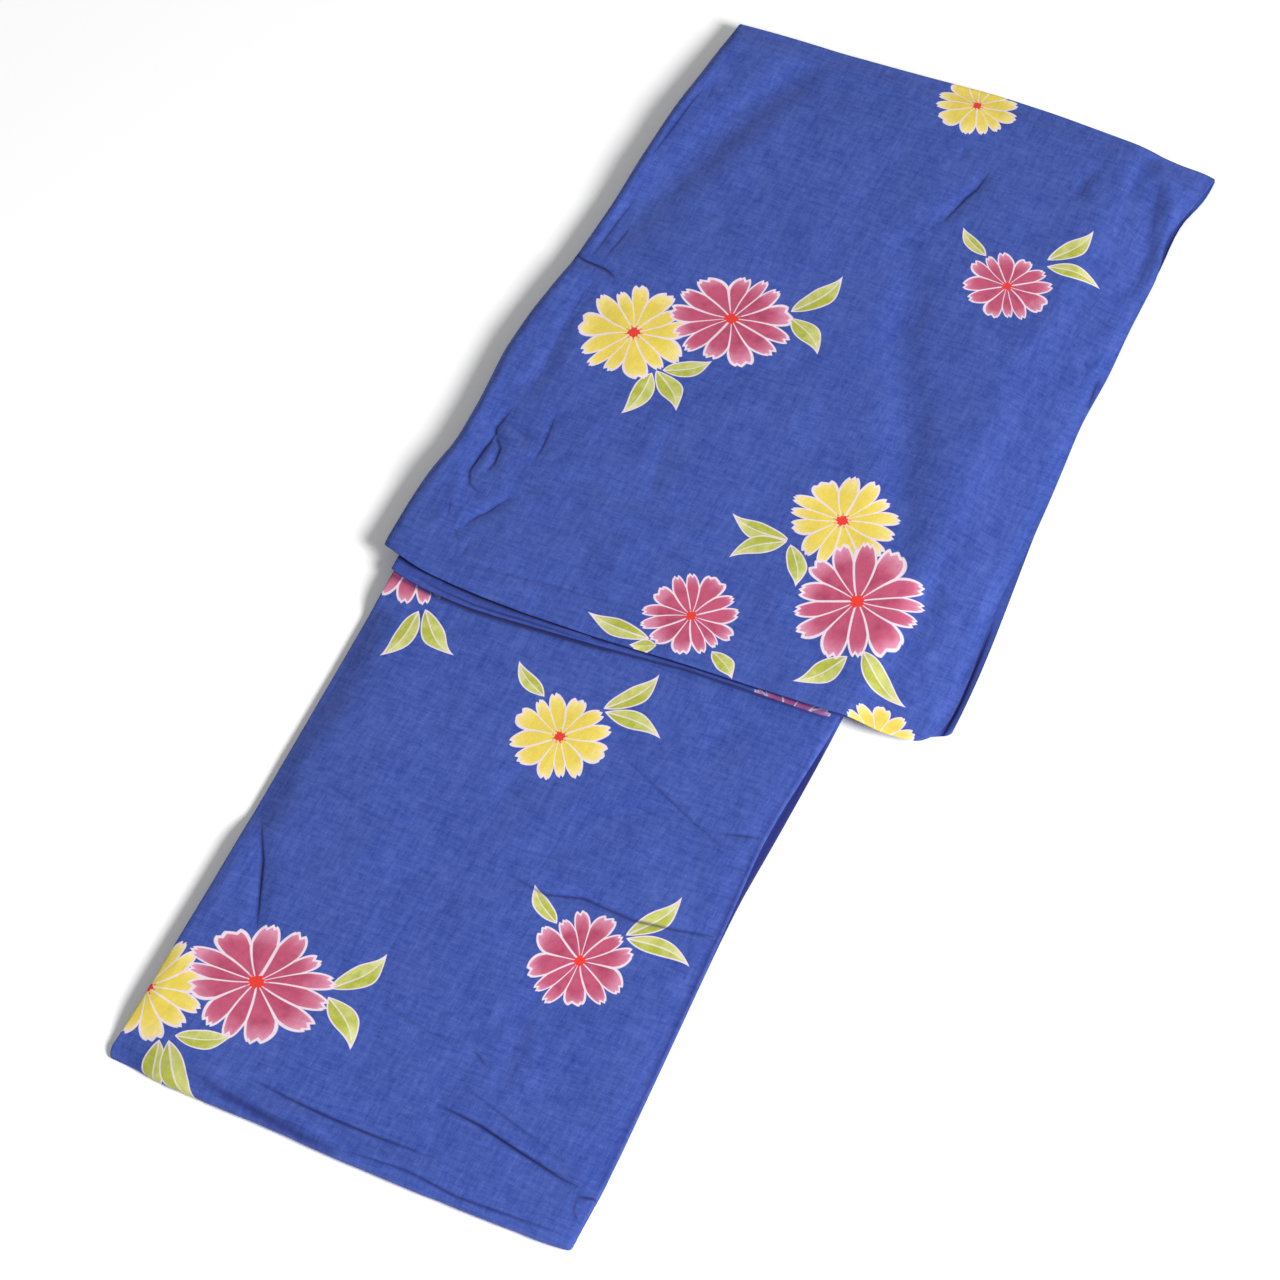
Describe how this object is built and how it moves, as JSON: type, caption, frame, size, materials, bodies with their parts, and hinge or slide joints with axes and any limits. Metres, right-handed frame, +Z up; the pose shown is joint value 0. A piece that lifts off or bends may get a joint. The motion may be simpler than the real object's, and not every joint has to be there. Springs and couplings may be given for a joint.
{
  "type": "folded cotton yukata robe",
  "caption": "Cotton summer robe folded flat into a long strip, folded in half, with one straight sleeve with a rounded wrist corner lying on top",
  "frame": {"origin": "middle of the box on the surface that the folded robe lies on", "axes": "+Y along the folded strip from its lower fold to the shoulders, +X across it towards the wrist end of the sleeve, +Z up"},
  "size_m": [0.3616, 0.8887, 0.0184],
  "materials": {
    "printed_cotton": "matt plain-weave cotton, blue with pink and yellow flowers and yellow-green leaves",
    "printed_cotton_inside": "the same cotton where it lies inside the fold"
  },
  "bodies": {
    "root": {"left_sleeve": "printed_cotton", "left_body": "printed_cotton", "right_body": "printed_cotton_inside", "right_sleeve": "printed_cotton_inside", "folded_layers": "printed_cotton_inside"}
  },
  "joints": []
}
